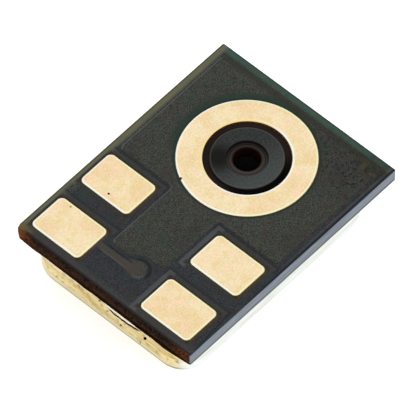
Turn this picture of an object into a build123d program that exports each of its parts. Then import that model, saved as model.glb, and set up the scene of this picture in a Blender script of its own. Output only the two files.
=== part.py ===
# Bottom-port MEMS microphone in a land-grid package, lying on its metal lid.
# Millimetres. X runs along the package from the pad end (-X) to the port end (+X),
# Z points up out of the solder side, and the origin is under the board's middle,
# on the flat face of the lid.
from build123d import *
import math
import os

os.makedirs("parts", exist_ok=True)

# Package outline and the board's layers
board_length = 3.48
board_width = 2.65
total_height = 0.98
core_thickness = 0.16
copper_thickness = 0.018
mask_over_copper = 0.018
mask_step = 0.012
mask_skirt = 0.012

# Solder side: the etched pattern sits a little off the saw lines
pattern_shift_y = 0.036
pad_length = 0.522
pad_width = 0.725
pad_corner = 0.07
pad_pitch_x = 0.822
pad_pitch_y = 1.675
pad_end_inset = 0.380
pad_lap = 0.035
copper_gap = 0.095
pour_pullback = 0.13
pour_corner = 0.06
tongue_corner = 0.10

# Output trace and its via land
trace_width = 0.08
trace_dx = 0.055
via_land_radius = 0.11
output_via_dx = 0.095
output_via_dy = -0.126
teardrop_length = 0.20
teardrop_neck = 0.06
via_radius = 0.05

# Sound port
port_end_inset = 1.024
port_radius = 0.1625
ring_outer_radius = 0.8125
ring_inner_radius = 0.5125
collar_outer_radius = 0.4375
collar_inner_radius = 0.24
collar_lap = 0.03
collar_edge_bevel = 0.007
port_copper_clearance = 0.16
chip_side_port_clearance = 0.16

# Vias under the pads and between the ground sheet and the lid land
supply_via_drop = 0.15
ground_via_inset = 0.235
sheet_via_x = 1.36

# Drawn lid and its solder seam
lid_end_margin = 0.14
lid_side_margin = 0.125
lid_corner = 0.334
lid_edge_round = 0.20
lid_wall = 0.10
lid_shift_y = 0.0845
seam_thickness = 0.018
seam_fillet = 0.035

# Chip-side copper and mask
lid_land_margin = 0.03
lid_land_clearance = 0.015
lid_land_corner = 0.20
bond_land_length = 0.18
bond_land_width = 0.12
bond_land_pitch = 0.32
bond_land_dx = 0.04
bond_window_lap = 0.02
inner_mask_lap = 0.025

# Transducer die and its films
transducer_size = 1.10
transducer_thickness = 0.35
transducer_bond_line = 0.025
cavity_radius = 0.33
diaphragm_overlap = 0.03
diaphragm_thickness = 0.006
diaphragm_gap = 0.010
spacer_width = 0.09
backplate_thickness = 0.012
backplate_hole_radius = 0.032
backplate_hole_pitch = 0.105
backplate_rim = 0.042
adhesive_spread = 0.035
adhesive_corner = 0.07

# Amplifier die
amplifier_land_gap = 0.121
amplifier_width = 1.00
amplifier_thickness = 0.18
amplifier_bond_line = 0.020
die_gap = 0.28
die_edge_chamfer = 0.012

# Bond pads and wires
bond_pad_size = 0.09
bond_pad_thickness = 0.006
bond_pad_inset = 0.07
bias_pad_offset = 0.44
signal_pad_offset = 0.28
shield_pad_offset = -0.40
wire_radius = 0.0125
wire_facets = 6
ball_radius = 0.034
ball_height = 0.020
ball_bevel = 0.008
foot_radius = 0.024
foot_height = 0.016
loop_rise = 0.10
shoulder_rise = 0.085
landing_slope_run = 0.11
bend_share = 0.45

# Heights of the layers, counted down from the solder side
pad_face_z = total_height - mask_over_copper
core_top_z = pad_face_z - copper_thickness
core_bottom_z = core_top_z - core_thickness
chip_copper_z = core_bottom_z - copper_thickness
chip_mask_z = chip_copper_z - mask_over_copper
low_mask_z = total_height - mask_step
lid_rim_z = chip_copper_z - seam_thickness

# Places of the solder-side pattern
outer_pad_x = -board_length / 2 + pad_end_inset
inner_pad_x = outer_pad_x + pad_pitch_x
upper_pad_y = pattern_shift_y + pad_pitch_y / 2
lower_pad_y = pattern_shift_y - pad_pitch_y / 2
port_x = board_length / 2 - port_end_inset
port_y = pattern_shift_y
output_via_x = outer_pad_x + output_via_dx
output_via_y = pattern_shift_y + output_via_dy
trace_x = outer_pad_x + trace_dx

# Edges of the ground sheet and of its tongue between the pads
sheet_x = inner_pad_x + pad_length / 2 + pad_lap + copper_gap
sheet_end_x = board_length / 2 - pour_pullback
sheet_y = board_width / 2 - pour_pullback
tongue_low_y = lower_pad_y + pad_width / 2 + pad_lap + copper_gap
tongue_high_y = upper_pad_y - pad_width / 2 - pad_lap - copper_gap
high_end_x = trace_x + trace_width / 2 + copper_gap
low_end_x = output_via_x + via_land_radius + copper_gap

# Places of the vias
supply_via_y = upper_pad_y - supply_via_drop
ground_via_y = -board_width / 2 + ground_via_inset
signal_via_places = [(output_via_x, output_via_y), (inner_pad_x, supply_via_y)]
ground_via_places = [(outer_pad_x, ground_via_y), (inner_pad_x, ground_via_y)]
ground_via_places += [(sheet_via_x, ground_via_y), (sheet_via_x, -ground_via_y)]

# Lid, and places inside it
lid_length = board_length - 2 * lid_end_margin
lid_width = board_width - 2 * lid_side_margin
land_reach = lid_wall + seam_fillet + lid_land_clearance + inner_mask_lap
land_inset_x = lid_end_margin + land_reach
land_inset_y = lid_side_margin + abs(lid_shift_y) + land_reach
bond_land_x = output_via_x + bond_land_dx
supply_land_y = output_via_y + bond_land_pitch
ground_land_y = output_via_y - bond_land_pitch
transducer_top_z = chip_mask_z - transducer_bond_line
transducer_face_z = transducer_top_z - transducer_thickness
amplifier_top_z = chip_mask_z - amplifier_bond_line
amplifier_face_z = amplifier_top_z - amplifier_thickness
amplifier_end_x = port_x - transducer_size / 2 - die_gap
amplifier_start_x = bond_land_x + bond_land_length / 2 + amplifier_land_gap
amplifier_length = amplifier_end_x - amplifier_start_x
amplifier_x = (amplifier_start_x + amplifier_end_x) / 2


def layer(sketch, low, high):
    """A flat sketch raised into the layer between two heights."""
    return extrude(Pos(0, 0, low) * sketch, amount=high - low)


def box_between(x_low, x_high, y_low, y_high):
    """A flat rectangle given by its sides."""
    middle = Pos((x_low + x_high) / 2, (y_low + y_high) / 2)
    return middle * Rectangle(x_high - x_low, y_high - y_low)


def round_corner(sketch, x, y, radius):
    """Round the corner of a sketch that lies nearest to a point."""
    corner = min(sketch.vertices(), key=lambda v: math.hypot(v.X - x, v.Y - y))
    return fillet(corner, radius)


# Solder-side copper

def pad_opening(x, y):
    """The opening in the mask that shows one solder pad."""
    return Pos(x, y) * RectangleRounded(pad_length, pad_width, pad_corner)


def pad_sketch(x, y):
    """One solder pad, which reaches under the mask all round its opening."""
    return Pos(x, y) * Rectangle(pad_length + 2 * pad_lap, pad_width + 2 * pad_lap)


def pad_corners(x, y):
    """The four corners of a solder pad."""
    reach_x = pad_length / 2 + pad_lap
    reach_y = pad_width / 2 + pad_lap
    return [(x + side * reach_x, y + end * reach_y) for side in (-1, 1) for end in (-1, 1)]


def output_sketch():
    """The output pad with its short trace, the teardrop and the via land."""
    pad = pad_sketch(outer_pad_x, upper_pad_y)
    pad_low_y = upper_pad_y - pad_width / 2
    neck_y = output_via_y + teardrop_length
    trace = box_between(trace_x - trace_width / 2, trace_x + trace_width / 2, neck_y, pad_low_y)
    land = Pos(output_via_x, output_via_y) * Circle(via_land_radius)
    neck = Pos(trace_x, neck_y) * Rectangle(trace_width, teardrop_neck)
    teardrop = make_hull(land.edges() + neck.edges())
    return pad + trace + teardrop


def ground_sketch():
    """The ground sheet: the field round the port ring and its tongue between the pads."""
    sheet = box_between(sheet_x, sheet_end_x, -sheet_y, sheet_y)
    tongue = box_between(low_end_x, sheet_x, tongue_low_y, tongue_high_y)
    tongue += box_between(high_end_x, sheet_x, output_via_y, tongue_high_y)
    via_room = Pos(output_via_x, output_via_y) * Circle(via_land_radius + copper_gap)
    return sheet + tongue - via_room - Pos(port_x, port_y) * Circle(ring_inner_radius)


def port_land_sketch():
    """The copper washer that lies wholly under the mask round the port."""
    plan = Circle(collar_outer_radius - collar_lap) - Circle(port_radius + port_copper_clearance)
    return Pos(port_x, port_y) * plan


solder_side_sketches = {
    "ground_copper": ground_sketch(),
    "output_pad": output_sketch(),
    "supply_pad": pad_sketch(inner_pad_x, upper_pad_y),
    "ground_pad_inner": pad_sketch(inner_pad_x, lower_pad_y),
    "ground_pad_corner": pad_sketch(outer_pad_x, lower_pad_y),
}
relief_corner = pad_corner + pad_lap + mask_skirt
relief_corners = {
    "ground_copper": {
        (sheet_x, sheet_y): pour_corner,
        (sheet_x, -sheet_y): pour_corner,
        (sheet_end_x, sheet_y): pour_corner,
        (sheet_end_x, -sheet_y): pour_corner,
        (sheet_x, tongue_high_y): pour_corner,
        (sheet_x, tongue_low_y): pour_corner,
        (high_end_x, tongue_high_y): pour_corner,
        (low_end_x, tongue_low_y): tongue_corner,
    },
    "output_pad": dict.fromkeys(pad_corners(outer_pad_x, upper_pad_y), relief_corner),
    "supply_pad": dict.fromkeys(pad_corners(inner_pad_x, upper_pad_y), relief_corner),
    "ground_pad_inner": dict.fromkeys(pad_corners(inner_pad_x, lower_pad_y), relief_corner),
    "ground_pad_corner": dict.fromkeys(pad_corners(outer_pad_x, lower_pad_y), relief_corner),
}
solder_side_copper = {
    name: layer(sketch, core_top_z, pad_face_z) for name, sketch in solder_side_sketches.items()
}
port_land = layer(port_land_sketch(), core_top_z, pad_face_z)


# Solder masks

def plateau(sketch, corners):
    """The raised field that the mask forms over a copper shape, rounded and with a sloped edge."""
    outline = offset(sketch, mask_skirt, kind=Kind.INTERSECTION)
    for (x, y), radius in corners.items():
        outline = round_corner(outline, x, y, radius)
    field = layer(outline, core_top_z, total_height)
    top_edges = field.faces().sort_by(Axis.Z)[-1].outer_wire().edges()
    return chamfer(top_edges, length=min(mask_step, mask_skirt))


def make_solder_side_mask():
    """The printed mask of the solder side, raised over the copper, open at the lands."""
    board = Rectangle(board_length, board_width)
    mask = layer(board, core_top_z, low_mask_z)
    for name, sketch in solder_side_sketches.items():
        mask += plateau(sketch, relief_corners[name])
    for copper in solder_side_copper.values():
        mask -= copper
    for x in (outer_pad_x, inner_pad_x):
        for y in (upper_pad_y, lower_pad_y):
            mask -= layer(pad_opening(x, y), core_top_z, total_height)
    ring_opening = Pos(port_x, port_y) * Circle(ring_outer_radius)
    return mask - layer(ring_opening, core_top_z, total_height)


def make_port_mask_collar():
    """The island of mask inside the gold ring, with soft rims, over the copper washer."""
    plan = Pos(port_x, port_y) * (Circle(collar_outer_radius) - Circle(collar_inner_radius))
    collar = layer(plan, core_top_z, total_height)
    rims = collar.faces().sort_by(Axis.Z)[-1].edges()
    return chamfer(rims, length=collar_edge_bevel) - port_land


# Board core and its vias

def via_group(places):
    """Plated and filled vias through the core."""
    return [
        Pos(x, y, (core_top_z + core_bottom_z) / 2) * Cylinder(via_radius, core_thickness)
        for x, y in places
    ]


def make_board_core():
    """The laminate core, drilled for the sound port and the vias."""
    core = layer(Rectangle(board_length, board_width), core_bottom_z, core_top_z)
    core -= layer(Pos(port_x, port_y) * Circle(port_radius), core_bottom_z, core_top_z)
    for via in via_group(signal_via_places + ground_via_places):
        core -= via
    return core


# Chip-side copper and mask

def land_window():
    """The field inside the lid land."""
    window_length = board_length - 2 * land_inset_x
    window_width = board_width - 2 * land_inset_y
    return RectangleRounded(window_length, window_width, lid_land_corner)


def bond_land_sketch(y, margin):
    """One bond land; the window in the mask over it has a negative margin."""
    plan = Rectangle(bond_land_length + 2 * margin, bond_land_width + 2 * margin)
    return Pos(bond_land_x, y) * plan


def lid_land_sketch():
    """The copper frame under the lid's rim, with the ground bond land grown out of it."""
    outer = Rectangle(board_length - 2 * lid_land_margin, board_width - 2 * lid_land_margin)
    inner_edge_x = -board_length / 2 + land_inset_x
    arm = box_between(
        inner_edge_x - land_inset_x / 2,
        bond_land_x,
        ground_land_y - bond_land_width / 2,
        ground_land_y + bond_land_width / 2,
    )
    return outer - land_window() + arm + bond_land_sketch(ground_land_y, 0)


def output_land_sketch():
    """The output via's chip-side land with its bond land."""
    return Pos(output_via_x, output_via_y) * Circle(via_land_radius) + bond_land_sketch(output_via_y, 0)


def supply_land_sketch():
    """The supply via's chip-side land, the trace round the amplifier and the bond land."""
    half = trace_width / 2
    land = Pos(inner_pad_x, supply_via_y) * Circle(via_land_radius)
    along = box_between(bond_land_x - half, inner_pad_x, supply_via_y - half, supply_via_y + half)
    down = box_between(bond_land_x - half, bond_land_x + half, supply_land_y, supply_via_y)
    return land + along + down + bond_land_sketch(supply_land_y, 0)


chip_side_copper = {
    "lid_land": layer(lid_land_sketch(), chip_copper_z, core_bottom_z),
    "output_bond_land": layer(output_land_sketch(), chip_copper_z, core_bottom_z),
    "supply_bond_land": layer(supply_land_sketch(), chip_copper_z, core_bottom_z),
}


def make_chip_side_mask():
    """The mask inside the lid land, with windows at the port and the bond lands."""
    plan = offset(land_window(), inner_mask_lap)
    plan -= Pos(port_x, port_y) * Circle(port_radius + chip_side_port_clearance)
    for y in (supply_land_y, output_via_y, ground_land_y):
        plan -= bond_land_sketch(y, -bond_window_lap)
    mask = layer(plan, chip_mask_z, core_bottom_z)
    for copper in chip_side_copper.values():
        mask -= copper
    return mask


# Lid and seam

def lid_plan(margin):
    """The lid's plan, grown or shrunk by a margin."""
    plan = RectangleRounded(lid_length + 2 * margin, lid_width + 2 * margin, lid_corner + margin)
    return Pos(0, lid_shift_y) * plan


def drawn_cup(margin, floor_z, edge_round):
    """A solid cup form with drawn corners and a rounded edge round its closed end."""
    cup = layer(lid_plan(margin), floor_z, lid_rim_z)
    closed_end = cup.faces().sort_by(Axis.Z)[0]
    return fillet(closed_end.edges(), edge_round)


def make_lid():
    """The drawn metal lid, a shell open towards the board."""
    outer = drawn_cup(0, 0, lid_edge_round)
    inner = drawn_cup(-lid_wall, lid_wall, lid_edge_round - lid_wall)
    return outer - inner


def make_lid_seam(lid):
    """Solder between the lid land and the lid's rim, with a fillet on each side."""
    fillet_end_z = chip_copper_z - seam_fillet
    outer = loft([
        Pos(0, 0, fillet_end_z) * lid_plan(0),
        Pos(0, 0, chip_copper_z) * lid_plan(seam_fillet),
    ])
    inner = loft([
        Pos(0, 0, fillet_end_z) * lid_plan(-lid_wall),
        Pos(0, 0, chip_copper_z) * lid_plan(-lid_wall - seam_fillet),
    ])
    return outer - inner - lid


# Transducer

def square_die(length, width, thickness, x, y, face_z):
    """A sawn silicon die with a small chamfer round the face that looks into the lid."""
    die = layer(Pos(x, y) * Rectangle(length, width), face_z, face_z + thickness)
    return chamfer(die.faces().sort_by(Axis.Z)[0].edges(), length=die_edge_chamfer)


def bond_line(length, width, x, y, top_z, thickness):
    """The adhesive that squeezes out a little round a die."""
    spread = 2 * adhesive_spread
    plan = RectangleRounded(length + spread, width + spread, adhesive_corner)
    return layer(Pos(x, y) * plan, top_z - thickness, top_z)


def port_disc(radius, low, high):
    """A disc centred on the sound port."""
    return layer(Pos(port_x, port_y) * Circle(radius), low, high)


def make_transducer():
    """The silicon frame over the port, its adhesive, the diaphragm, the spacer and the backplate."""
    cavity = port_disc(cavity_radius, transducer_face_z, chip_mask_z)
    frame = square_die(
        transducer_size, transducer_size, transducer_thickness, port_x, port_y, transducer_face_z
    )
    adhesive = bond_line(
        transducer_size, transducer_size, port_x, port_y, chip_mask_z, transducer_bond_line
    )
    film_radius = cavity_radius + diaphragm_overlap
    film_z = transducer_face_z - diaphragm_thickness
    gap_z = film_z - diaphragm_gap
    film = port_disc(film_radius, film_z, transducer_face_z)
    spacer = port_disc(film_radius + spacer_width, gap_z, transducer_face_z)
    spacer -= port_disc(film_radius, gap_z, transducer_face_z)
    plate = port_disc(film_radius + spacer_width, gap_z - backplate_thickness, gap_z)
    return {
        "transducer_die": frame - cavity,
        "transducer_adhesive": adhesive - cavity,
        "diaphragm": film,
        "spacer_ring": spacer,
        "backplate": plate - backplate_holes(gap_z - backplate_thickness, gap_z),
    }


def backplate_holes(low, high):
    """The staggered six-sided sound holes of the backplate, inside the cavity's outline."""
    row_step = backplate_hole_pitch * math.sqrt(3) / 2
    reach = cavity_radius - backplate_rim
    rows = int(reach / row_step)
    places = []
    for row in range(-rows, rows + 1):
        y = row * row_step
        half_chord = math.sqrt(reach ** 2 - y ** 2)
        shift = backplate_hole_pitch / 2 * (row % 2)
        columns = math.floor((half_chord - shift) / backplate_hole_pitch)
        xs = [shift + backplate_hole_pitch * k for k in range(-columns - row % 2, columns + 1)]
        places += [Pos(port_x + x, port_y + y) for x in xs]
    holes = [place * RegularPolygon(backplate_hole_radius, 6) for place in places]
    return layer(Sketch() + holes, low, high)


# Bond pads and wires

def bond_pads(places, face_z):
    """Square metal pads on a die's face."""
    return [
        layer(Pos(x, y) * Rectangle(bond_pad_size, bond_pad_size), face_z - bond_pad_thickness, face_z)
        for x, y in places
    ]


def bend_radius(before, corner, after):
    """The largest arc that a corner of a wire's route takes with room to spare."""
    first_run = corner - before
    second_run = after - corner
    half_turn = math.radians(first_run.get_angle(second_run)) / 2
    return bend_share * min(first_run.length, second_run.length) / math.tan(half_turn)


def bond_wire(start, end):
    """A gold wire from its ball on one land, up over a loop and down onto its foot on another."""
    start_point = Vector(*start)
    end_point = Vector(*end)
    heading = Vector(end_point.X - start_point.X, end_point.Y - start_point.Y, 0).normalized()
    tail = end_point - Vector(0, 0, foot_height / 2)
    shoulder = tail - heading * landing_slope_run
    shoulder = Vector(shoulder.X, shoulder.Y, start_point.Z - shoulder_rise)
    points = [start_point, start_point - Vector(0, 0, loop_rise), shoulder, tail]
    radii = [bend_radius(*points[k:k + 3]) for k in range(len(points) - 2)]
    path = FilletPolyline(*points, radius=radii)
    section = RegularPolygon(wire_radius, wire_facets)
    tube = sweep(Plane(start_point, z_dir=(0, 0, -1)) * section, path=path)
    ball = Pos(start_point.X, start_point.Y) * RegularPolygon(ball_radius, wire_facets)
    ball = layer(ball, start_point.Z - ball_height, start_point.Z)
    ball = chamfer(ball.faces().sort_by(Axis.Z)[0].edges(), length=ball_bevel)
    foot = Pos(end_point.X, end_point.Y) * RegularPolygon(foot_radius, wire_facets)
    return tube + ball + layer(foot, end_point.Z - foot_height, end_point.Z)


# Assembly

lid = make_lid()
nodes = {
    "board_core": make_board_core(),
    **solder_side_copper,
    "port_land": port_land,
    "solder_side_mask": make_solder_side_mask(),
    "port_mask_collar": make_port_mask_collar(),
    "signal_vias": via_group(signal_via_places),
    "ground_vias": via_group(ground_via_places),
    **chip_side_copper,
    "chip_side_mask": make_chip_side_mask(),
    **make_transducer(),
    "amplifier_adhesive": bond_line(
        amplifier_length, amplifier_width, amplifier_x, port_y, chip_mask_z, amplifier_bond_line
    ),
    "amplifier_die": square_die(
        amplifier_length, amplifier_width, amplifier_thickness, amplifier_x, port_y, amplifier_face_z
    ),
    "lid_seam": make_lid_seam(lid),
    "lid": lid,
}

transducer_pad_x = port_x - transducer_size / 2 + bond_pad_inset
facing_pad_x = amplifier_x + amplifier_length / 2 - bond_pad_inset
outward_pad_x = amplifier_x - amplifier_length / 2 + bond_pad_inset
pad_offsets = (bias_pad_offset, signal_pad_offset, shield_pad_offset)
transducer_pads = [(transducer_pad_x, port_y + dy) for dy in pad_offsets]
facing_pads = [(facing_pad_x, port_y + dy) for dy in pad_offsets]
outward_pads = [(outward_pad_x, y) for y in (output_via_y, supply_land_y, ground_land_y)]
nodes["transducer_bond_pads"] = bond_pads(transducer_pads, transducer_face_z)
nodes["amplifier_bond_pads"] = bond_pads(facing_pads + outward_pads, amplifier_face_z)

transducer_wire_z = transducer_face_z - bond_pad_thickness
amplifier_wire_z = amplifier_face_z - bond_pad_thickness
die_wires = ("bias_wire", "signal_wire", "shield_wire")
board_wires = ("output_wire", "supply_wire", "ground_wire")
for name, start, end in zip(die_wires, transducer_pads, facing_pads):
    nodes[name] = bond_wire((*start, transducer_wire_z), (*end, amplifier_wire_z))
for name, (x, y) in zip(board_wires, outward_pads):
    nodes[name] = bond_wire((x, y, amplifier_wire_z), (bond_land_x, y, chip_copper_z))

for name, shape in nodes.items():
    solids = shape if isinstance(shape, list) else shape.solids()
    export_step(Compound(children=list(solids)), f"parts/{name}.step")
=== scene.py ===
import math

import bmesh
import bpy
from mathutils import Matrix, Vector, noise


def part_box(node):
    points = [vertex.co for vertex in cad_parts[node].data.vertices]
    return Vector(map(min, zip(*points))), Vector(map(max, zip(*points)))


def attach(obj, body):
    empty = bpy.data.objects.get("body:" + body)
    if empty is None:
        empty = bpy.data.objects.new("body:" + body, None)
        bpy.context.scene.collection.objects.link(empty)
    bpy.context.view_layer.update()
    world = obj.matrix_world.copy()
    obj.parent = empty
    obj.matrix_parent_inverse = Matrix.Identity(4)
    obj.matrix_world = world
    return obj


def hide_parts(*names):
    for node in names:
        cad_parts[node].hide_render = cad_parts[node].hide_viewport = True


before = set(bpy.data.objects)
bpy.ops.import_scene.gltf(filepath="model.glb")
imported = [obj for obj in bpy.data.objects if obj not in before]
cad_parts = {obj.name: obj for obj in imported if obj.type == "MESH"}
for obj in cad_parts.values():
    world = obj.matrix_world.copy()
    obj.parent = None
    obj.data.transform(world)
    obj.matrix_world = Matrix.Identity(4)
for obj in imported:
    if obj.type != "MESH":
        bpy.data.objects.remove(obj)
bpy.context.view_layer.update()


# Board core: a plate of black glass-epoxy laminate, drilled for the sound port and the vias.
# Two of its sides show the glass in layers, and are pale with a painted reflection of the room.
# The other two are routed: they stay dark brown, are scorched at the corners, and one hangs down
# in a thin uneven lip at its lower edge.

MM = 0.001


def srgb(red, green, blue):
    """A colour as it shows on a screen, 0 to 255, as the shader's own values."""
    parts = [part / 255 for part in (red, green, blue)]
    return tuple(p / 12.92 if p < 0.04 else ((p + 0.055) / 1.055) ** 2.4 for p in parts) + (1,)


class Shade:
    """One output of a shader node: sums on it add Math nodes, and node() adds any other."""

    def __init__(self, tree, socket=None):
        self.tree = tree
        self.socket = socket

    def node(self, kind, settings, sockets, output=0):
        """Adds a node: first its settings, then the values or links of its sockets."""
        made = self.tree.nodes.new("ShaderNode" + kind)
        for name, value in settings.items():
            setattr(made, name, value)
        for name, value in sockets.items():
            if isinstance(value, Shade):
                self.tree.links.new(value.socket, made.inputs[name])
            else:
                made.inputs[name].default_value = value
        return Shade(self.tree, made.outputs[output])

    def maths(self, operation, *values):
        return self.node("Math", {"operation": operation}, dict(enumerate(values)))

    def __add__(self, other):
        return self.maths("ADD", self, other)

    def __sub__(self, other):
        return self.maths("SUBTRACT", self, other)

    def __rsub__(self, other):
        return self.maths("SUBTRACT", other, self)

    def __mul__(self, other):
        return self.maths("MULTIPLY", self, other)

    def __abs__(self):
        return self.maths("ABSOLUTE", self)

    __radd__ = __add__
    __rmul__ = __mul__

    def larger(self, other):
        return self.maths("MAXIMUM", self, other)

    def wrapped(self, length):
        """This value, counted from 0 again after each length."""
        return self.maths("FLOORED_MODULO", self, length)

    def smooth(self, none, full):
        """0 at none, 1 at full, and an even curve between."""
        ends = {"Value": self, "From Min": none, "From Max": full}
        return self.node("MapRange", {"interpolation_type": "SMOOTHSTEP"}, ends)

    def band(self, middle, half_width):
        """1 in a narrow band about a value."""
        return abs(self - middle).smooth(half_width, 0.4 * half_width)

    def between(self, first, second):
        """The colour that goes from first to second as this value goes from 0 to 1."""
        return self.node("Mix", {"data_type": "RGBA"}, {0: self, 6: first, 7: second}, 2)

    def tinted(self, share, red, green, blue):
        """This colour with another over it, by a share from 0 to 1."""
        return share.between(self, srgb(red, green, blue))

    def axes(self):
        return [self.node("SeparateXYZ", {}, {0: self}, name) for name in "XYZ"]

    def stretched(self, x, y, z):
        return self.node("Mapping", {}, {"Vector": self, "Scale": (x, y, z)})

    def noise(self, scale, detail=3.0):
        return self.node("TexNoise", {}, {"Vector": self, "Scale": scale, "Detail": detail})

    def distance(self, point):
        return self.node("VectorMath", {"operation": "DISTANCE"}, {0: self, 1: point}, "Value")

    def spot(self, centre, radius):
        """1 in a small round mark about a point."""
        return self.distance(centre).smooth(radius, 0.6 * radius)


def new_material(name, **constants):
    """A material with these plain shader values, and its object coordinates in millimetres."""
    material = bpy.data.materials.new(name)
    material.use_nodes = True
    shader = material.node_tree.nodes["Principled BSDF"]
    for socket, value in constants.items():
        shader.inputs[socket.replace("_", " ")].default_value = value
    start = Shade(material.node_tree)
    metres = start.node("TexCoord", {}, {}, "Object")
    place = start.node("VectorMath", {"operation": "SCALE"}, {0: metres, "Scale": 1 / MM})
    return material, place


def finish_with(place, relief=None, **feeds):
    """Links what varies to the shader; relief is a height in millimetres."""
    shader = place.tree.nodes["Principled BSDF"]
    if relief:
        feeds["Normal"] = relief.node("Bump", {}, {"Height": relief, "Distance": MM})
    for socket, value in feeds.items():
        place.tree.links.new(value.socket, shader.inputs[socket.replace("_", " ")])


def corners_mm(node):
    """Lowest and highest corner of a CAD node, in millimetres."""
    return [Vector(corner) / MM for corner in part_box(node)]


def shape_of(node):
    """A CAD node's mesh in millimetres, merged, with its flat faces whole."""
    shape = bmesh.new()
    shape.from_mesh(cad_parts[node].data)
    bmesh.ops.scale(shape, vec=(1 / MM,) * 3, verts=shape.verts)
    bmesh.ops.remove_doubles(shape, verts=shape.verts, dist=1e-4)
    bmesh.ops.dissolve_limit(
        shape, angle_limit=math.radians(2), verts=shape.verts, edges=shape.edges)
    return shape


def upright_edges(shape):
    return [e for e in shape.edges if abs(e.verts[0].co.z - e.verts[1].co.z) > 1e-4]


def level_edges(shape, height):
    return [e for e in shape.edges if all(abs(v.co.z - height) < 1e-4 for v in e.verts)]


def round_edges(shape, edges, offset, segments):
    bmesh.ops.bevel(
        shape, geom=edges, offset=offset, offset_type="OFFSET", segments=segments, profile=0.5,
        affect="EDGES", material=-1)


def add_piece(name, shape, material, replaced=(), sharp_from=40):
    """Makes a finished piece from a shape in millimetres, on the one body."""
    bmesh.ops.scale(shape, vec=(MM, MM, MM), verts=shape.verts)
    mesh = bpy.data.meshes.new(name)
    shape.to_mesh(mesh)
    shape.free()
    mesh.shade_smooth()
    mesh.set_sharp_from_angle(angle=math.radians(sharp_from))
    mesh.materials.append(material)
    piece = bpy.data.objects.new(name, mesh)
    bpy.context.scene.collection.objects.link(piece)
    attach(piece, "root")
    if replaced:
        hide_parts(*replaced)
    return piece


port_x = 0.716
port_y = 0.036
port_radius = 0.1625
core_low, core_high = corners_mm("board_core")
corner_radius = 0.018


def wear_corners(shape, scorched_radius):
    """Takes the sharpness off the board's corners, one of which is scorched."""
    for corner_x in (core_low.x, core_high.x):
        for corner_y in (core_low.y, core_high.y):
            edges = [e for e in upright_edges(shape) if all(
                abs(v.co.x - corner_x) < 1e-3 and abs(v.co.y - corner_y) < 1e-3 for v in e.verts)]
            scorched = corner_x < 0 < corner_y
            round_edges(shape, edges, scorched_radius if scorched else corner_radius, 5)


laminate, place = new_material("laminate", Specular_IOR_Level=0.0)
x, y, z = place.axes()
from_port = place.stretched(1, 1, 0).distance((port_x, port_y, 0))
specks = place.noise(36.0, 3.0)
fibres = place.stretched(1.6, 1.6, 60).noise(1.5, 5.0)

# The routed sides, scorched towards their ends.
routed_tone = z.smooth(core_high.z, core_low.z).between(srgb(36, 30, 26), srgb(64, 45, 30))
routed_tone = routed_tone.tinted(specks.smooth(0.52, 0.66) * 0.7, 74, 42, 32)
routed_tone = routed_tone.tinted(specks.smooth(0.48, 0.34) * 0.9, 12, 7, 6)
scorched = y.smooth(1.0, 1.3).larger(y.smooth(-1.0, -1.3)) * specks.smooth(0.3, 0.65)
routed_tone = routed_tone.tinted(scorched * 0.8, 116, 60, 30)
routed_tone = routed_tone.tinted(y.smooth(1.19, 1.28) * 0.6, 122, 76, 36)

# The pale sides: glass in layers under a painted reflection, a darker band near the foot, and a
# pale foot.
pale_side_tone = fibres.smooth(0.35, 0.65).between(srgb(114, 121, 130), srgb(144, 151, 160))
pale_side_tone = pale_side_tone.tinted(z.smooth(core_low.z + 0.05, core_low.z + 0.03), 96, 102, 104)
pale_side_tone = pale_side_tone.tinted(z.smooth(core_low.z + 0.018, core_low.z + 0.004), 146, 151, 153)
# Painted reflection: the two pale sides stand for light caught on them.
pale_sides = abs(y).smooth(core_high.y - 0.02, core_high.y - 0.005)
side_tone = pale_sides.between(routed_tone, pale_side_tone)

# The bare ledge round the port, marked by the drill, and the groove round the mask collar.
rings = place.node("TexNoise", {"noise_dimensions": "1D"}, {"W": from_port, "Scale": 60.0})
# Painted light: the ledge is lighter on the side towards the pads and darker away from them.
near_pads = (x + y).smooth(port_x + port_y + 0.3, port_x + port_y - 0.3)
shaded_ledge = rings.smooth(0.35, 0.65).between(srgb(28, 25, 22), srgb(44, 40, 36))
lit_ledge = rings.smooth(0.35, 0.65).between(srgb(52, 47, 44), srgb(78, 73, 69))
ledge_tone = near_pads.between(shaded_ledge, lit_ledge)
ledge_tone = ledge_tone.tinted(from_port.band(0.195, 0.014) * 0.35, 80, 70, 64)
# Painted shade in the groove, darkest on its near side under the ring's edge.
shaded = (x * -0.34 - y * 0.94).smooth(-0.18, 0.12)
groove_tone = shaded.between(srgb(43, 35, 30), srgb(13, 11, 11))
ledge_tone = from_port.smooth(0.24, 0.27).between(ledge_tone, groove_tone)
ledge_tone = ledge_tone.tinted(from_port.smooth(port_radius + 0.012, port_radius), 28, 9, 6)
finish_with(
    place, relief=fibres * 0.004 + specks * 0.002,
    Base_Color=from_port.smooth(0.56, 0.54).between(side_tone, ledge_tone),
    Roughness=specks * 0.2 + 0.6)

# A thin uneven lip hangs from one lower edge, and the scorched corner is worn back at its foot.
hang_width = 0.018
hang_reach = 0.012
hang_drop = 0.058
hang_unevenness = 0.012
hang_grows_over = 0.3
worn_width = 0.03
worn_height = 0.09
worn_shift = Vector((0.008, -0.018, 0))

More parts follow.
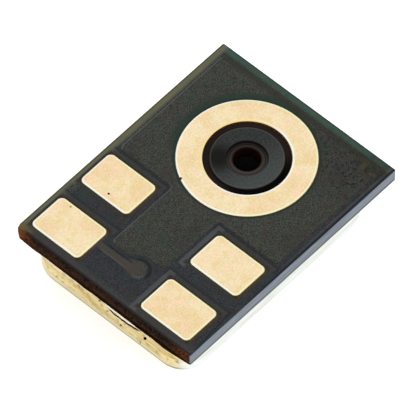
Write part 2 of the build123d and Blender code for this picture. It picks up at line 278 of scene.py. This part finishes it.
shape = shape_of("board_core")
wear_corners(shape, scorched_radius=0.006)
for cut_at, cut_along in (
        ((core_low.x + hang_width, 0, 0), (1, 0, 0)),
        ((0, 0, core_low.z + worn_height), (0, 0, 1)),
        ((0, 0, core_low.z + worn_height / 2), (0, 0, 1))):
    bmesh.ops.bisect_plane(
        shape, geom=shape.verts[:] + shape.edges[:] + shape.faces[:], dist=1e-5,
        plane_co=cut_at, plane_no=cut_along)
for vert in shape.verts:
    if vert.co.x < core_low.x + worn_width and vert.co.y > core_high.y - worn_width:
        worn = max(1 - (vert.co.z - core_low.z) / worn_height, 0) ** 2
        vert.co += worn * worn_shift
long_edges = [
    e for e in level_edges(shape, core_low.z)
    if e.calc_length() > 2 and all(v.co.x < core_low.x + 1.1 * hang_width for v in e.verts)]
bmesh.ops.subdivide_edges(shape, edges=long_edges, cuts=70, use_grid_fill=True)
for vert in shape.verts:
    if vert.co.x < core_low.x + hang_reach and abs(vert.co.z - core_low.z) < 1e-4:
        coarse = noise.noise(Vector((0, 5.0 * vert.co.y, 0)))
        fine = noise.noise(Vector((0, 17.0 * vert.co.y, 3)))
        grown = min((vert.co.y - core_low.y) / hang_grows_over, 1)
        vert.co.z -= grown * (hang_drop + hang_unevenness * (coarse + 0.4 * fine))
add_piece("laminate_core", shape, laminate, ["board_core"])


# Vias: holes drilled through the board, plated with copper on their walls and then filled.
# They carry the pads' circuits from the solder side to the chip side.

def dress(material, *nodes):
    """Gives CAD nodes a material."""
    for node in nodes:
        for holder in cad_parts[node].material_slots:
            holder.material = material


def grained(name, scale, height, darker, lighter, rough, detail=3.0, spread=0.2, **constants):
    """A plain finish: one fine grain varies its tone, roughness and height in millimetres."""
    material, place = new_material(name, **constants)
    grain = place.noise(scale, detail)
    finish_with(
        place, relief=grain * height,
        Base_Color=grain.between(srgb(*darker), srgb(*lighter)), Roughness=grain * spread + rough)
    return material


via_copper = grained(
    "via copper", 70.0, 0.001, (176, 104, 66), (206, 138, 98), rough=0.35, Metallic=1.0)
dress(via_copper, "signal_vias", "ground_vias")


# Copper of the solder side: etched foil under the mask. It is browned where the mask lies on
# it, and only its cut edges stay bright.

foil, place = new_material("etched copper", Metallic=1.0)
grain = place.noise(90.0)
browned = place.axes()[2].smooth(0.955, 0.961)
finish_with(
    place, relief=grain * 0.0015,
    Base_Color=browned.between(srgb(190, 120, 84), srgb(66, 46, 26)), Roughness=grain * 0.2 + 0.45)
dress(foil, "ground_copper", "output_pad", "supply_pad", "ground_pad_inner", "ground_pad_corner",
      "port_land")


# Plated faces: nickel and soft gold, built up on the copper in each opening of the mask.
# The plating is satin, and rounds off at its edges into a narrow gap beside the mask.

plated_face = 0.974
plating_foot = 0.960
plating_gap = 0.001
shoulder_width = 0.034
shoulder_height = 0.009
flatter = shoulder_width / shoulder_height

gold, place = new_material("satin gold plating")
z = place.axes()[2]
from_port = place.stretched(1, 1, 0).distance((port_x, port_y, 0))
clouds = place.noise(3.5)
mottle = place.noise(9.0, 3.0)
grain = place.noise(46.0, 2.0)
tone = clouds.smooth(0.35, 0.65).between(srgb(243, 215, 169), srgb(247, 229, 189))
tone = tone.tinted(mottle.smooth(0.5, 0.66) * 0.6, 239, 215, 151)
tone = tone.tinted(mottle.smooth(0.47, 0.32) * 0.7, 255, 218, 182)
tone = tone.tinted(grain.smooth(0.5, 0.66) * 0.34, 224, 198, 156)
tone = tone.tinted(grain.smooth(0.5, 0.34) * 0.34, 255, 242, 212)

# The rounded shoulders, brightened as a painted highlight that is whitest on one side, and painted
# shade at the darker foot of their slopes.
shoulder = z.smooth(plated_face - 0.0001, plated_face - 0.0008)
lean = place.node("TexCoord", {}, {}, "Normal").axes()
highlight_side = (lean[1] * 0.87 - lean[0] * 0.5).smooth(-0.12, 0.12)
outer_tone = highlight_side.between(srgb(255, 251, 194), srgb(254, 255, 244))
inner_tone = lean[1].smooth(-0.12, 0.06).between(srgb(252, 224, 154), srgb(249, 250, 242))
tone = shoulder.between(tone, from_port.smooth(0.6, 0.58).between(outer_tone, inner_tone))
lower_edge = z.smooth(plated_face - 0.004, plated_face - 0.009)
tone = lower_edge.between(tone, highlight_side.between(srgb(192, 144, 60), srgb(120, 120, 104)))

# Pits in the plating: where, how wide and how dark.
for pit_x, pit_y, radius, depth in (
        (-0.715, 0.862, 0.018, 1.0), (-1.14, 1.058, 0.015, 0.7), (-0.006, 0.404, 0.024, 1.0)):
    pit = place.spot((pit_x, pit_y, plated_face), radius)
    tone = tone.tinted(pit * depth, 58, 40, 26)
finish_with(
    place, relief=mottle * 0.0010 + grain * 0.0003,
    Base_Color=tone, Roughness=mottle * 0.15 + 0.34, Metallic=shoulder * -0.75 + 1.0)


def box_shape(low, high):
    """A block between two corners."""
    shape = bmesh.new()
    bmesh.ops.create_cube(shape, size=1.0)
    size = [top - bottom for bottom, top in zip(low, high)]
    bmesh.ops.scale(shape, vec=size, verts=shape.verts)
    middle = [(top + bottom) / 2 for bottom, top in zip(low, high)]
    bmesh.ops.translate(shape, vec=middle, verts=shape.verts)
    return shape


def turned(profile, centre, steps):
    """A closed profile of (radius, height) points turned once round an upright axis."""
    shape = bmesh.new()
    points = [
        shape.verts.new((centre[0] + radius, centre[1], height)) for radius, height in profile]
    edges = [shape.edges.new(pair) for pair in zip(points, points[1:] + points[:1])]
    bmesh.ops.spin(
        shape, geom=points + edges, cent=(*centre, 0), axis=(0, 0, 1), angle=2 * math.pi,
        steps=steps, use_merge=True)
    bmesh.ops.remove_doubles(shape, verts=shape.verts, dist=1e-6)
    bmesh.ops.recalc_face_normals(shape, faces=shape.faces)
    return shape


def rim_edges(shape, centre, radius, height):
    """The edges of a circle on a turned shape."""
    def on_rim(vert):
        reach = math.hypot(vert.co.x - centre[0], vert.co.y - centre[1])
        return abs(reach - radius) < 1e-4 and abs(vert.co.z - height) < 1e-4
    return [e for e in shape.edges if all(on_rim(v) for v in e.verts)]


pad_length = 0.522
pad_width = 0.725
pad_corner = 0.07
pad_columns = (-1.360, -0.538)
pad_rows = (-0.8015, 0.8735)
pad_names = {
    (0, 0): "ground_pad_corner_plating", (1, 0): "ground_pad_inner_plating",
    (0, 1): "output_pad_plating", (1, 1): "supply_pad_plating"}
opening_growth = {name: 0.006 for name in pad_names.values()}
opening_growth["ground_pad_corner_plating"] = 0.010
for (column, row), name in pad_names.items():
    half_length = pad_length / 2 + opening_growth[name] - plating_gap
    half_width = pad_width / 2 + opening_growth[name] - plating_gap
    middle_x, middle_y = pad_columns[column], pad_rows[row]
    top = (plated_face - plating_foot) * flatter
    shape = box_shape(
        (middle_x - half_length, middle_y - half_width, 0),
        (middle_x + half_length, middle_y + half_width, top))
    round_edges(shape, upright_edges(shape), pad_corner, 8)
    round_edges(shape, level_edges(shape, top), shoulder_width, 6)
    bmesh.ops.scale(shape, vec=(1, 1, 1 / flatter), verts=shape.verts)
    bmesh.ops.translate(shape, vec=(0, 0, plating_foot), verts=shape.verts)
    add_piece(name, shape, gold)

# The ring, whose openings were printed a little off the drilled port and off each other.
ring_centre = Vector((port_x + 0.0045, port_y + 0.005))
inner_shift = (0.004, -0.003, 0)
ring_opening = 0.8205
ring_outer = ring_opening - plating_gap
ring_inner = 0.5155
ring_halfway = (ring_inner + ring_outer) / 2
lip = ring_inner + 0.008
core_face = 0.944
lip_foot = core_face + 0.001
profile = [
    (ring_inner, lip_foot), (ring_inner, plated_face), (ring_outer, plated_face),
    (ring_outer, plating_foot), (lip, plating_foot), (lip, lip_foot)]
shape = turned(profile, ring_centre, 128)
bmesh.ops.scale(shape, vec=(1, 1, flatter), verts=shape.verts)
for radius in (ring_inner, ring_outer):
    rim = rim_edges(shape, ring_centre, radius, plated_face * flatter)
    round_edges(shape, rim, shoulder_width, 6)
bmesh.ops.scale(shape, vec=(1, 1, 1 / flatter), verts=shape.verts)
inner_side = [v for v in shape.verts if (v.co.xy - ring_centre).length < ring_halfway]
bmesh.ops.translate(shape, vec=inner_shift, verts=inner_side)
add_piece("port_ring_plating", shape, gold)


# Solder-side mask: black photo-imaged resin, printed over copper and laminate. It stands
# higher where copper lies under it, and slopes down to the plating at each opening. Handling
# has stained and pitted it near one corner and worn it back from the scorched one.

mask_face = 0.980
bare_face = 0.968
rim_slope = 0.011
foot_rounding = 0.002
step_rounding = 0.006

mask_resin, place = new_material("black solder mask", Specular_IOR_Level=0.2)
x, y, z = place.axes()
from_port = place.stretched(1, 1, 0).distance((port_x, port_y, 0))

# The resin: a fine weave, greener and lighter where it is raised over copper.
clouds = place.noise(3.0)
hues = place.noise(6.0, 4.0)
warp = place.stretched(110, 48, 1).noise(1.0, 1.0)
weft = place.stretched(48, 110, 1).noise(1.0, 1.0)
weave = place.noise(22.0, 2.0) * 0.16 + (warp + weft) * 0.42
far_rim = y.smooth(1.17, 1.19).larger(x.smooth(1.56, 1.58))
raised = z.smooth(bare_face + 0.002, mask_face - 0.003).larger(far_rim)
dark = raised.between(srgb(14, 18, 24), srgb(22, 25, 20))
light = raised.between(srgb(54, 57, 60), srgb(70, 72, 64))
tone = weave.smooth(0.40, 0.60).between(dark, light)
tone = tone.tinted(clouds.smooth(0.5, 0.75) * 0.35, 32, 30, 28)
tone = tone.tinted(hues.smooth(0.53, 0.68) * 0.30, 62, 48, 50)
tone = tone.tinted(hues.smooth(0.47, 0.32) * 0.30, 34, 56, 48)

# The step down from the copper: a painted highlight where it faces +Y, painted shade where it
# faces +X.
lean = place.node("TexCoord", {}, {}, "Normal").axes()
step = z.band((mask_face + bare_face) / 2, 0.006)
tone = tone.tinted(step * lean[1].smooth(0.08, 0.35) * 0.7, 94, 98, 106)
tone = tone.tinted(step * lean[0].smooth(0.08, 0.35) * 0.7, 14, 14, 12)

# The frames round the pads: side, distance from the pad, half width, share and colour.
pads_middle_x = sum(pad_columns) / 2
pads_middle_y = sum(pad_rows) / 2
column_pitch = pad_columns[1] - pad_columns[0]
row_pitch = pad_rows[1] - pad_rows[0]
past_end = abs(abs(y - pads_middle_y) - row_pitch / 2) - pad_width / 2
past_side = abs(abs(x - pads_middle_x) - column_pitch / 2) - pad_length / 2
past_pad = past_end.larger(past_side)
along = (y - pads_middle_y).wrapped(row_pitch) - row_pitch / 2
across = (x - pads_middle_x).wrapped(column_pitch) - column_pitch / 2
behind = along.smooth(0.34, 0.37)
before = along.smooth(-0.34, -0.37) * abs(across).smooth(0.29, 0.20)
right = across.smooth(0.24, 0.27)
left = across.smooth(-0.24, -0.27)
# The frame behind each pad is a painted highlight, and the outer one on its right is painted
# shade.
for side, distance, half_width, share, colour in (
        (behind, 0.062, 0.034, 0.8, (72, 77, 80)), (right, 0.058, 0.022, 0.5, (62, 56, 50)),
        (right, 0.098, 0.024, 0.6, (22, 26, 26)), (left, 0.030, 0.030, 0.6, (54, 46, 36)),
        (before, 0.018, 0.044, 0.7, (64, 42, 14))):
    tone = tone.tinted(side * past_pad.band(distance, half_width) * share, *colour)

# Painted shade: the dark gaps beside the plating, round the pads and round the ring.
gap_shade_tone = before.between(srgb(34, 26, 6), srgb(70, 44, 4))
tone = (past_pad.smooth(0.036, 0.014) * 0.8).between(tone, gap_shade_tone)
far_side = ((y - port_y) * 0.95 + (x - port_x) * 0.2).smooth(0.0, 0.5)
gap_shade_tone = far_side.between(srgb(32, 28, 4), srgb(8, 40, 36))
at_ring = from_port.smooth(0.862, 0.840) * from_port.smooth(0.5, 0.6)
tone = (at_ring * 0.8).between(tone, gap_shade_tone)
far_side = ((y - port_y) * 0.8 + (x - port_x) * 0.6).smooth(0.15, 0.55)
tone = tone.tinted(from_port.band(0.865, 0.07) * far_side * 0.6, 20, 44, 32)

# The corner pad's trace and its round land, with painted shade in a valley beside them and a
# painted highlight on a crest.
trace_x = -1.305
trace_y = 0.2
land_x = -1.265
land_y = -0.090
land_radius = 0.11
over_trace = abs(x - trace_x).smooth(0.16, 0.08) * abs(y - trace_y).smooth(0.4, 0.3) * raised
tone = tone.tinted(over_trace * 0.6, 66, 58, 54)
from_land = place.distance((land_x, land_y, mask_face))
right_of_land = (x * 0.85 - y * 0.5 - (land_x * 0.85 - land_y * 0.5)).smooth(-0.01, 0.07)
beside_trace = x.band(trace_x + 0.063, 0.024) * y.smooth(-0.02, 0.05) * y.smooth(0.42, 0.34)
valley_shade = from_land.band(land_radius + 0.032, 0.032) * right_of_land
valley_shade = valley_shade.larger(beside_trace * 0.7)
tone = tone.tinted(valley_shade * 0.9, 16, 20, 18)
beside_trace = x.band(trace_x - 0.037, 0.014) * y.smooth(-0.02, 0.10) * y.smooth(0.44, 0.36)
crest_highlight = from_land.band(land_radius, 0.022) * (1 - right_of_land) * y.smooth(-0.06, -0.15)
crest_highlight = crest_highlight.larger(beside_trace * 0.8)
tone = tone.tinted(crest_highlight * 0.4, 88, 86, 82)

# Stains and pits at the worn end, most of all near its corner.
stains = place.noise(13.0, 4.0)
pits = place.noise(30.0).smooth(0.57, 0.63)
worn_end = x.smooth(0.7, 1.4) * y.smooth(0.1, -0.8)
tone = tone.tinted(worn_end * 0.2, 20, 26, 28)
tone = tone.tinted(worn_end * stains.smooth(0.52, 0.64) * 0.5, 60, 46, 38)
tone = tone.tinted(worn_end * stains.smooth(0.44, 0.34) * 0.6, 22, 26, 24)
tone = tone.tinted(worn_end * pits, 8, 7, 7)
near_corner = x.smooth(1.38, 1.52) * y.smooth(-0.82, -0.98)
tone = tone.tinted(near_corner * 0.5, 14, 26, 20)
tone = tone.tinted(near_corner * stains.smooth(0.48, 0.62) * 0.6, 72, 58, 34)
dashes = y.band(-1.20, 0.05) * x.smooth(-0.3, 0.3) * place.noise(16.0).smooth(0.5, 0.62)
tone = tone.tinted(dashes * 0.6, 62, 46, 46)
tone = tone.tinted(y.band(-1.275, 0.02) * x.smooth(-0.4, 0.4) * 0.3, 80, 82, 84)

# The rims: greener at one end, paler along one side, browner at the other end and its
# scorched corner, and dark along the edge of the pale -Y side.
tone = tone.tinted(x.band(1.61, 0.06) * 0.5, 32, 30, 18)
greener_rim = x.smooth(1.63, 1.69) * (stains * 0.9 + 0.2) * (1 - y.smooth(-0.9, -1.25) * 0.6)
tone = tone.tinted(greener_rim, 54, 82, 70)
tone = tone.tinted(x.smooth(1.712, 1.728) * 0.7, 14, 52, 46)
paler_rim = (y + x.smooth(-0.4, 0.0) * 0.030).smooth(1.245, 1.300)
tone = tone.tinted(paler_rim * (hues * 0.6 + 0.6), 98, 97, 76)
tone = tone.tinted(y.smooth(1.300, 1.314) * 0.8, 50, 54, 20)
tone = tone.tinted(x.smooth(-1.62, -1.68) * 0.3, 72, 68, 64)
warmed = x.smooth(-1.62, -1.71) * y.smooth(1.08, 1.22)
tone = tone.tinted(warmed * (stains * 0.8 + 0.35), 100, 82, 42)
tone = tone.tinted(x.smooth(-1.705, -1.73) * y.smooth(1.26, 1.16), 26, 20, 17)
tone = tone.tinted(y.smooth(-1.288, -1.303) * x.smooth(-1.0, -0.4), 12, 17, 26)
tone = tone.tinted(y.smooth(-1.316, -1.324), 100, 106, 116)
finish_with(
    place, relief=weave * 0.0006 + clouds * 0.004,
    Base_Color=tone, Roughness=weave * 0.2 + 0.42)

# The openings grow from the CAD's to just past the plating.
cad_ring_opening = 0.8125
near_opening = 4e-3
shape = shape_of("solder_side_mask")
facets = [
    e for e in shape.edges
    if abs(e.verts[0].co.z - e.verts[1].co.z) < 1e-4 and all(
        abs(math.hypot(v.co.x - port_x, v.co.y - port_y) - cad_ring_opening) < 1e-3
        for v in e.verts)]
bmesh.ops.subdivide_edges(shape, edges=facets, cuts=2)
for vert in shape.verts:
    out = Vector((vert.co.x - port_x, vert.co.y - port_y))
    if abs(out.length - cad_ring_opening) < near_opening:
        vert.co.x, vert.co.y = ring_centre + out.normalized() * ring_opening
    for (column, row), name in pad_names.items():
        out = Vector((vert.co.x - pad_columns[column], vert.co.y - pad_rows[row]))
        half = Vector((pad_length / 2, pad_width / 2))
        if abs(out.x) < half.x + near_opening and abs(out.y) < half.y + near_opening:
            vert.co.x += out.x / half.x * opening_growth[name]
            vert.co.y += out.y / half.y * opening_growth[name]
wear_corners(shape, scorched_radius=0.045)


def meeting_edges(shape, height, least, most):
    """Level edges at a height where two faces meet at an angle, in degrees."""
    return [
        e for e in level_edges(shape, height)
        if len(e.link_faces) == 2 and least < math.degrees(e.calc_face_angle()) < most]


round_edges(shape, meeting_edges(shape, mask_face, 80, 100), rim_slope, 3)
round_edges(shape, meeting_edges(shape, bare_face, 80, 100), foot_rounding, 3)
steps = meeting_edges(shape, mask_face, 30, 60) + meeting_edges(shape, bare_face, 30, 60)
round_edges(shape, steps, step_rounding, 3)
for face in shape.faces:
    middle = face.calc_center_median()
    outermost = max(abs(middle.x) - core_high.x, abs(middle.y) - core_high.y)
    if abs(face.normal.z) < 0.1 and outermost > -corner_radius:
        face.material_index = 1
mask_sheet = add_piece(
    "mask_sheet", shape, mask_resin, ["solder_side_mask"], 30)
mask_sheet.data.materials.append(laminate)


# Port mask collar: the island of the same mask inside the gold ring, open over the sound port.
# It is printed over the port's copper land, and its outer rim stands a little proud.

collar_inner = 0.24
collar_outer = 0.4375
collar_face = mask_face - 0.003
collar_rim = mask_face - 0.004
collar_rounding = 0.010
flat_from = 0.262
flat_to = 0.405
ridge = 0.418
recess_inner = 0.3225
recess_outer = 0.4075
copper_face = 0.962
profile = [
    (collar_inner, core_face), (collar_inner, collar_face), (flat_from, collar_face),
    (flat_to, collar_face), (ridge, mask_face), (collar_outer, collar_rim),
    (collar_outer, core_face), (recess_outer, core_face), (recess_outer, copper_face),
    (recess_inner, copper_face), (recess_inner, core_face)]
shape = turned(profile, (port_x, port_y), 96)
for radius, height in ((collar_inner, collar_face), (collar_outer, collar_rim)):
    rim = rim_edges(shape, (port_x, port_y), radius, height)
    round_edges(shape, rim, collar_rounding, 3)

collar_resin, place = new_material("collar mask", Specular_IOR_Level=0.12)
x, y = place.axes()[:2]
from_port = place.stretched(1, 1, 0).distance((port_x, port_y, 0))
weave = place.noise(44.0, 3.0)
near_pads = (x * -0.25 - y).smooth(-0.38, 0.21)
tone = near_pads.between(srgb(39, 42, 40), srgb(64, 69, 67))
tone = tone.tinted(weave.smooth(0.4, 0.7) * 0.3, 82, 85, 84)
tone = tone.tinted(weave.smooth(0.5, 0.3) * 0.4, 28, 30, 29)
tone = tone.tinted(place.distance((0.50, 0.28, mask_face)).smooth(0.28, 0.05), 6, 6, 3)
# Painted highlight along the proud outer rim.
tone = tone.tinted(from_port.band(0.419, 0.010) * 0.35, 84, 80, 76)
tone = tone.tinted(from_port.smooth(0.252, 0.244), 14, 12, 12)
tone = tone.tinted(from_port.smooth(0.428, 0.4365), 20, 16, 16)
finish_with(
    place, relief=weave * 0.0015, Base_Color=tone, Roughness=weave * 0.2 + 0.42)
add_piece("port_collar", shape, collar_resin, ["port_mask_collar"], 30)


# Chip side: the plated frame that the lid is soldered to, the bond lands and their traces,
# and a thinner print of the same mask.

land_gold = grained(
    "chip-side gold plating", 60.0, 0.001, (226, 190, 116), (246, 216, 150), rough=0.3,
    Metallic=1.0)
dress(land_gold, "lid_land", "output_bond_land", "supply_bond_land")

inner_resin = grained(
    "chip-side mask", 28.0, 0.0015, (34, 36, 34), (62, 64, 60), rough=0.42, detail=4.0,
    Specular_IOR_Level=0.2)
dress(inner_resin, "chip_side_mask")


# Dies: the transducer is etched from silicon and glued over the port. Its thin diaphragm is
# stretched under a stiff, holed backplate, with a spacer between them. The amplifier is a
# plain silicon die, glued down beside it.

silicon = grained(
    "silicon", 40.0, 0.0008, (92, 96, 106), (122, 126, 138), rough=0.25, spread=0.25,
    Metallic=0.6)
dress(silicon, "transducer_die", "amplifier_die")

film = grained(
    "silicon film", 50.0, 0.0003, (34, 30, 28), (52, 44, 38), rough=0.2, Metallic=0.4)
dress(film, "diaphragm", "spacer_ring", "backplate")

glue = grained("die adhesive", 16.0, 0.004, (196, 192, 182), (216, 212, 202), rough=0.4)
dress(glue, "transducer_adhesive", "amplifier_adhesive")


# Bonds: aluminium pads on both dies, joined to each other and to the board by fine gold
# wires, each with a ball at its first end and a stitch at its second.

aluminium = grained(
    "bond pad aluminium", 120.0, 0.0005, (196, 198, 202), (222, 224, 228), rough=0.3,
    Metallic=1.0)
dress(aluminium, "transducer_bond_pads", "amplifier_bond_pads")

wire_gold = grained(
    "bond wire gold", 150.0, 0.0003, (244, 200, 104), (252, 218, 136), rough=0.2, spread=0.15,
    Metallic=1.0)
dress(wire_gold, "bias_wire", "signal_wire", "shield_wire", "output_wire", "supply_wire",
      "ground_wire")


# Lid seam: solder drawn in between the lid's rim and its land. It wets the land unevenly and
# on one side a run of it has squeezed out almost to the board's edge.

lid_low, lid_high = corners_mm("lid")
lid_corner = 0.334
seam_low, seam_high = corners_mm("lid_seam")
bead_reach = 0.045
run_reach = 0.070
run_from = -0.70
run_to = 0.34
run_grows_over = 0.4
run_fades_over = 0.35

solder = grained(
    "solder", 30.0, 0.003, (214, 208, 200), (250, 244, 234), rough=0.3, Metallic=0.9)


def lay_solder(vert, share, drop, sag):
    """Puts a vertex at a share of the solder's reach from the lid's wall, under the land."""
    inner = Vector((
        min(max(vert.co.x, lid_low.x + lid_corner), lid_high.x - lid_corner),
        min(max(vert.co.y, lid_low.y + lid_corner), lid_high.y - lid_corner)))
    away = (vert.co.xy - inner).normalized()
    wall = inner + away * lid_corner
    run_start = min(max((run_to - wall.y) / run_grows_over, 0), 1)
    run_end = min(max((wall.y - run_from) / run_fades_over, 0), 1) ** 0.4
    run = run_start * run_end * (away.x < -0.99)
    uneven = noise.noise(Vector((*wall, 0)) * 4.0)
    reach = bead_reach + 0.012 * uneven + (run_reach + 0.006 * uneven) * run ** 0.3
    if away.y > 0:
        reach = min(reach, 0.9 * (core_high.y - wall.y) / away.y)
    level = seam_high.z - drop - sag * run
    vert.co = (*(wall + away * reach * share), level)


shape = box_shape((lid_low.x, lid_low.y, seam_low.z), (lid_high.x, lid_high.y, seam_high.z))
round_edges(shape, upright_edges(shape), lid_corner, 14)
ends = [f for f in shape.faces if abs(f.normal.z) > 0.9]
bmesh.ops.delete(shape, geom=ends, context="FACES")
straight = [e for e in shape.edges if e.calc_length() > 1]
bmesh.ops.subdivide_edges(shape, edges=straight, cuts=60, use_grid_fill=True)

# The bead's rows, from the land round and back to the wall: reach, drop, and sag in the run.
ring = level_edges(shape, seam_high.z)
for share, drop, sag in ((1.0, 0.0, 0.0), (1.04, 0.008, 0.072), (0.98, 0.014, 0.114),
                         (0.5, 0.022, 0.106), (0.0, seam_high.z - seam_low.z, 0.0)):
    grown = bmesh.ops.extrude_edge_only(shape, edges=ring)["geom"]
    new_verts = {item for item in grown if isinstance(item, bmesh.types.BMVert)}
    ring = [item for item in grown if isinstance(item, bmesh.types.BMEdge)
            and all(v in new_verts for v in item.verts)]
    for vert in new_verts:
        lay_solder(vert, share, drop, sag)
bmesh.ops.remove_doubles(shape, verts=shape.verts, dist=1e-4)
bmesh.ops.recalc_face_normals(shape, faces=shape.faces)
add_piece("seam_squeeze_out", shape, solder)
dress(solder, "lid_seam")


# Lid: a can deep drawn from thin brass-coloured sheet, with a rounded closed end that the
# microphone lies on here. The closed end keeps the sheet's rolled grain. Drawing left faint
# bands and specks on the walls. One wall has black marks, and a painted shadow line under the
# squeezed-out solder.

lid_wall = 0.10
lid_edge_round = 0.20

lid_metal, place = new_material("lid metal", Specular_IOR_Level=0.0)
x, y, z = place.axes()
bands = place.stretched(0.7, 0.7, 14).noise(3.0, 5.0)
mottle = place.noise(14.0, 5.0)
rolled = place.stretched(1, 18, 1).noise(3.0, 5.0)

# The drawn walls, most marked on the side with the painted shadow line.
marked = x.smooth(-1.3, -1.55) * 0.75 + 0.25
drawn = (bands.smooth(0.40, 0.60) - 0.5) * marked + 0.5
tone = drawn.between(srgb(199, 176, 110), srgb(231, 213, 160))
tone = tone.tinted(mottle.smooth(0.5, 0.62) * marked * 0.6, 166, 146, 74)
tone = tone.tinted(mottle.smooth(0.66, 0.72) * marked * 0.7, 104, 84, 44)

# The rounded edge, lighter as a painted reflection of the floor, the closed end, painted shade on
# the duller turn between them, and a pale upper line.
tone = tone.tinted(z.smooth(0.27, 0.20) * 0.7, 226, 216, 182)
tone = tone.tinted(z.smooth(0.06, 0.02) * rolled.smooth(0.38, 0.62), 204, 186, 132)
tone = tone.tinted(z.smooth(0.185, 0.150) * z.smooth(0.03, 0.07), 148, 140, 104)
tone = tone.tinted(z.band(0.458, 0.018) * y.smooth(-0.1, 0.1) * marked, 236, 214, 184)

# The other walls are brighter: a painted reflection of the white room.
paler = y.smooth(lid_low.y + 0.2, lid_low.y + 0.05) * 0.9
paler = paler.larger(x.smooth(0.9, 1.5) * 0.5).larger(y.smooth(0.9, 1.25) * 0.3)
pale_tone = bands.smooth(0.30, 0.70).between(srgb(212, 218, 217), srgb(238, 244, 246))
tone = paler.between(tone, pale_tone)

# A painted shadow line under the solder run, bowed and wavy.
along_shadow_line = y + 0.15
wavy = place.stretched(1, 1, 0).noise(12.0, 2.0)
shadow_line = (z - along_shadow_line * along_shadow_line * 0.6 + wavy * 0.05).band(0.412, 0.026)
black = shadow_line * y.smooth(0.10, 0.0) * y.smooth(-0.48, -0.36)


def from_above(across, up):
    """A place on the wall as it shows from above at a slant, where the marks look round."""
    return across * 0.74, across * 0.55 + up * 0.58


# The marks: where on the wall, how wide and how dark.
slant_y, slant_z = from_above(y, z)
slant = place.node("CombineXYZ", {}, {"Y": slant_y, "Z": slant_z})
for mark_y, mark_z, radius, depth in (
        (-0.508, 0.366, 0.023, 1.0), (-0.134, 0.262, 0.018, 0.7), (0.073, 0.343, 0.016, 0.5),
        (0.192, 0.435, 0.018, 0.6), (-0.434, 0.204, 0.013, 0.5), (0.86, 0.27, 0.016, 0.4)):
    black = black.larger(slant.spot((0, *from_above(mark_y, mark_z)), radius) * depth)
black = black * x.smooth(-1.5, -1.58)
finish_with(
    place, relief=bands * 0.0010 + mottle * 0.0004,
    Base_Color=black.between(tone, srgb(4, 3, 2)), Roughness=mottle * 0.15 + 0.28,
    Metallic=black * -0.85 + 0.85)

shape = box_shape(lid_low, lid_high)
round_edges(shape, upright_edges(shape), lid_corner, 14)
round_edges(shape, level_edges(shape, lid_low.z), lid_edge_round, 10)
open_end = [f for f in shape.faces if all(abs(v.co.z - lid_high.z) < 1e-6 for v in f.verts)]
bmesh.ops.delete(shape, geom=open_end, context="FACES")
bmesh.ops.recalc_face_normals(shape, faces=shape.faces)
bmesh.ops.solidify(shape, geom=shape.faces, thickness=lid_wall)
add_piece("drawn_lid", shape, lid_metal, ["lid"])


# Studio: a white sheet under the part, an even white room and three soft lamps. The camera
# looks down over the corner pads with a long lens.

floor_size = 0.5
floor_drop = 0.00001
shape = bmesh.new()
bmesh.ops.create_grid(shape, x_segments=2, y_segments=2, size=floor_size / 2)
bmesh.ops.translate(shape, vec=(0, 0, -floor_drop), verts=shape.verts)
floor_mesh = bpy.data.meshes.new("floor")
shape.to_mesh(floor_mesh)
shape.free()
floor = bpy.data.objects.new("floor", floor_mesh)
bpy.context.scene.collection.objects.link(floor)

paper, place = new_material(
    "white paper", Base_Color=(0.85, 0.85, 0.85, 1), Emission_Color=(1, 1, 1, 1), Roughness=1.0,
    Specular_IOR_Level=0.0)
paper_glow = 0.5


def seen_white(start):
    """1 for what the camera, a gloss or a glass sees, 0 for the light on the part."""
    kinds = [start.node("LightPath", {}, {}, f"Is {kind} Ray")
             for kind in ("Camera", "Glossy", "Transmission")]
    return kinds[0].larger(kinds[1]).larger(kinds[2])


finish_with(place, Emission_Strength=seen_white(place) * paper_glow)
below = place.node("NewGeometry", {}, {}, "Backfacing")
surface = Shade(paper.node_tree, paper.node_tree.nodes["Principled BSDF"].outputs[0])
clear = place.node("BsdfTransparent", {}, {})
mixed = place.node("MixShader", {}, {0: below, 1: surface, 2: clear})
paper.node_tree.links.new(mixed.socket, paper.node_tree.nodes["Material Output"].inputs[0])
floor.data.materials.append(paper)

world = bpy.data.worlds.new("white room")
bpy.context.scene.world = world
world.use_nodes = True
background = world.node_tree.nodes["Background"]
background.inputs["Color"].default_value = (1, 1, 1, 1)
room_light = 0.65
strength = seen_white(Shade(world.node_tree)) * (1 - room_light) + room_light
world.node_tree.links.new(strength.socket, background.inputs["Strength"])

lamp_distance = 0.12
lamp_size = 0.08


def add_lamp(name, direction, energy):
    """A soft square lamp that faces the part from a direction, and isn't mirrored in it."""
    lamp = bpy.data.lights.new(name, "AREA")
    lamp.size = lamp_size
    lamp.energy = energy
    holder = bpy.data.objects.new(name, lamp)
    bpy.context.scene.collection.objects.link(holder)
    holder.visible_glossy = False
    towards = Vector(direction).normalized()
    holder.matrix_world = (Matrix.Translation(towards * lamp_distance)
                           @ towards.to_track_quat("Z", "Y").to_matrix().to_4x4())


add_lamp("key lamp", (-0.8, 0.45, 0.5), energy=0.04)
add_lamp("side lamp", (0.3, -0.95, 0.4), energy=0.07)
add_lamp("back lamp", (0.4, 0.9, 0.3), energy=0.03)

camera_place = Vector((-49.7554, -44.4140, 95.1275)) * MM
camera_right = (0.67214726, -0.74039521, 0.00574389)
camera_up = (0.60229458, 0.55125561, 0.57737206)
camera_back = (-0.43064986, -0.38461953, 0.81646097)
view = bpy.data.cameras.new("camera")
view.lens = 889.4
view.sensor_width = 36
view.clip_start = 0.001
view.clip_end = 1.0
camera = bpy.data.objects.new("camera", view)
turn = Matrix((camera_right, camera_up, camera_back)).transposed().to_4x4()
camera.matrix_world = Matrix.Translation(camera_place) @ turn
bpy.context.scene.collection.objects.link(camera)
bpy.context.scene.camera = camera
bpy.context.scene.view_settings.view_transform = "Standard"
